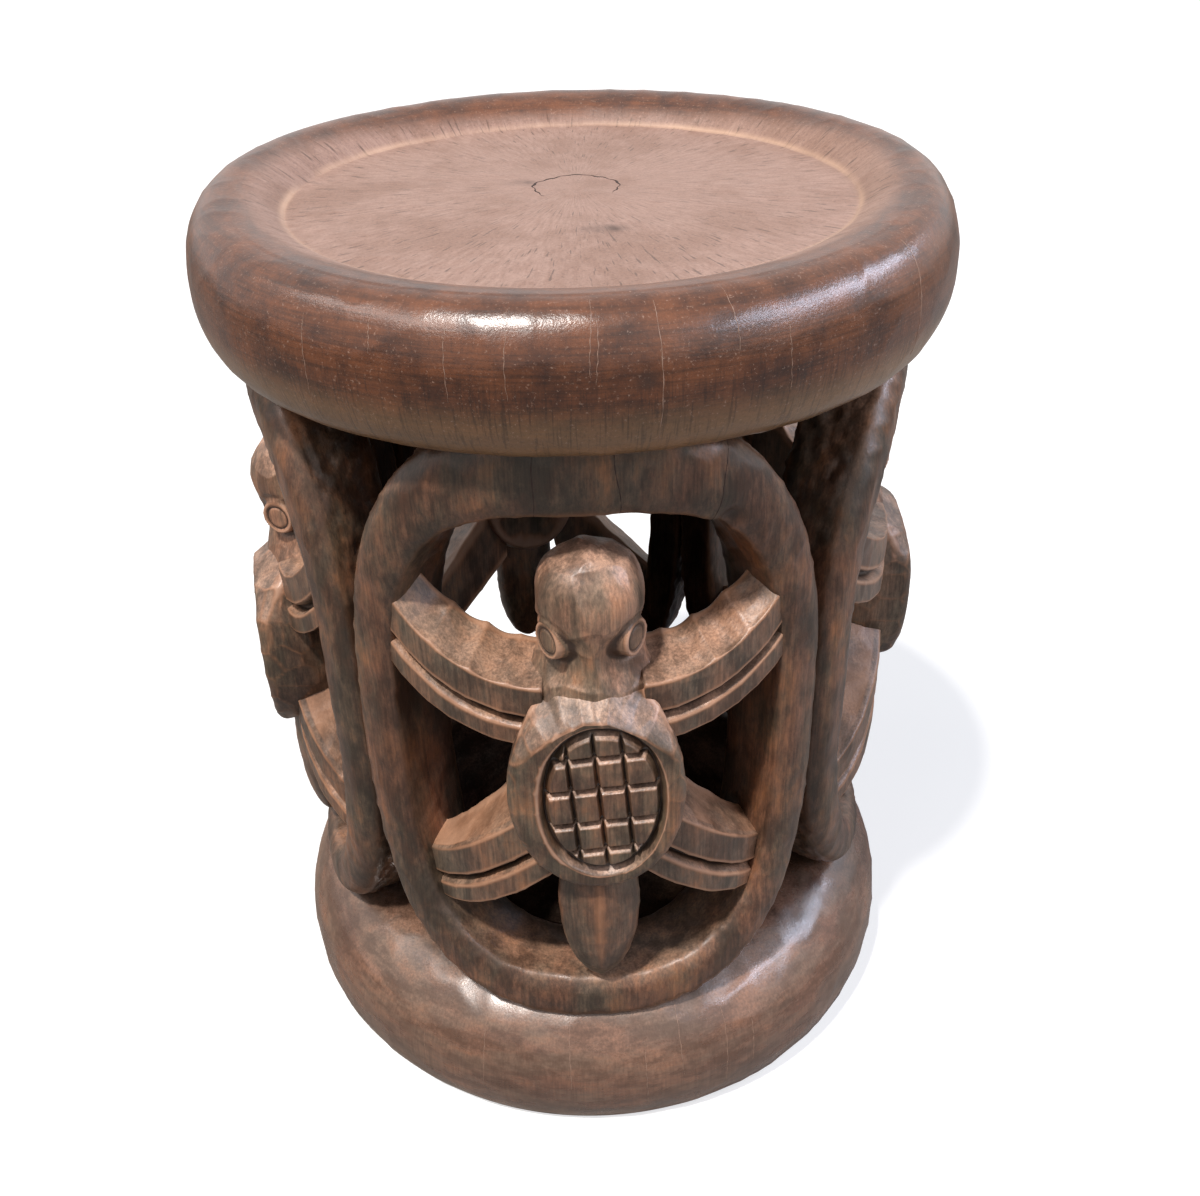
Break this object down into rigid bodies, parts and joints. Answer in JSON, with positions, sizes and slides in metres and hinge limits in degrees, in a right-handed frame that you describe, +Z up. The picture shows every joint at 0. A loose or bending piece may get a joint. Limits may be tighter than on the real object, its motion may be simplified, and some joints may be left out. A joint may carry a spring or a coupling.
{
  "type": "carved wooden stool",
  "caption": "Round wooden stool with a dished seat and a rolled base, joined by curved oval frames that each hold an openwork turtle.",
  "frame": {"origin": "centre of the base's underside, on the floor", "axes": "+Z up along the log's axis, -Y towards the front turtle, +X to the viewer's right"},
  "size_m": [0.342, 0.342, 0.45],
  "materials": {
    "seat_wood": "waxed, dark reddish brown, satin gloss",
    "base_wood": "waxed, worn brown",
    "frame_wood": "chiselled, dusty brown",
    "shell_wood": "chiselled, grey-brown patina",
    "head_wood": "chiselled, worn brown",
    "flipper_wood": "chiselled, worn orange-brown",
    "tail_wood": "chiselled, worn brown"
  },
  "bodies": {
    "root": {"seat_top": "seat_wood", "base_ring": "base_wood", "oval_frame_front": "frame_wood", "turtle_shell_front": "shell_wood", "turtle_head_front": "head_wood", "turtle_tail_front": "tail_wood", "upper_left_flipper_front": "flipper_wood", "upper_right_flipper_front": "flipper_wood", "lower_left_flipper_front": "flipper_wood", "lower_right_flipper_front": "flipper_wood", "oval_frame_right": "frame_wood", "turtle_shell_right": "shell_wood", "turtle_head_right": "head_wood", "turtle_tail_right": "tail_wood", "upper_left_flipper_right": "flipper_wood", "upper_right_flipper_right": "flipper_wood", "lower_left_flipper_right": "flipper_wood", "lower_right_flipper_right": "flipper_wood", "oval_frame_back": "frame_wood", "turtle_shell_back": "shell_wood", "turtle_head_back": "head_wood", "turtle_tail_back": "tail_wood", "upper_left_flipper_back": "flipper_wood", "upper_right_flipper_back": "flipper_wood", "lower_left_flipper_back": "flipper_wood", "lower_right_flipper_back": "flipper_wood", "oval_frame_left": "frame_wood", "turtle_shell_left": "shell_wood", "turtle_head_left": "head_wood", "turtle_tail_left": "tail_wood", "upper_left_flipper_left": "flipper_wood", "upper_right_flipper_left": "flipper_wood", "lower_left_flipper_left": "flipper_wood", "lower_right_flipper_left": "flipper_wood"}
  },
  "joints": []
}
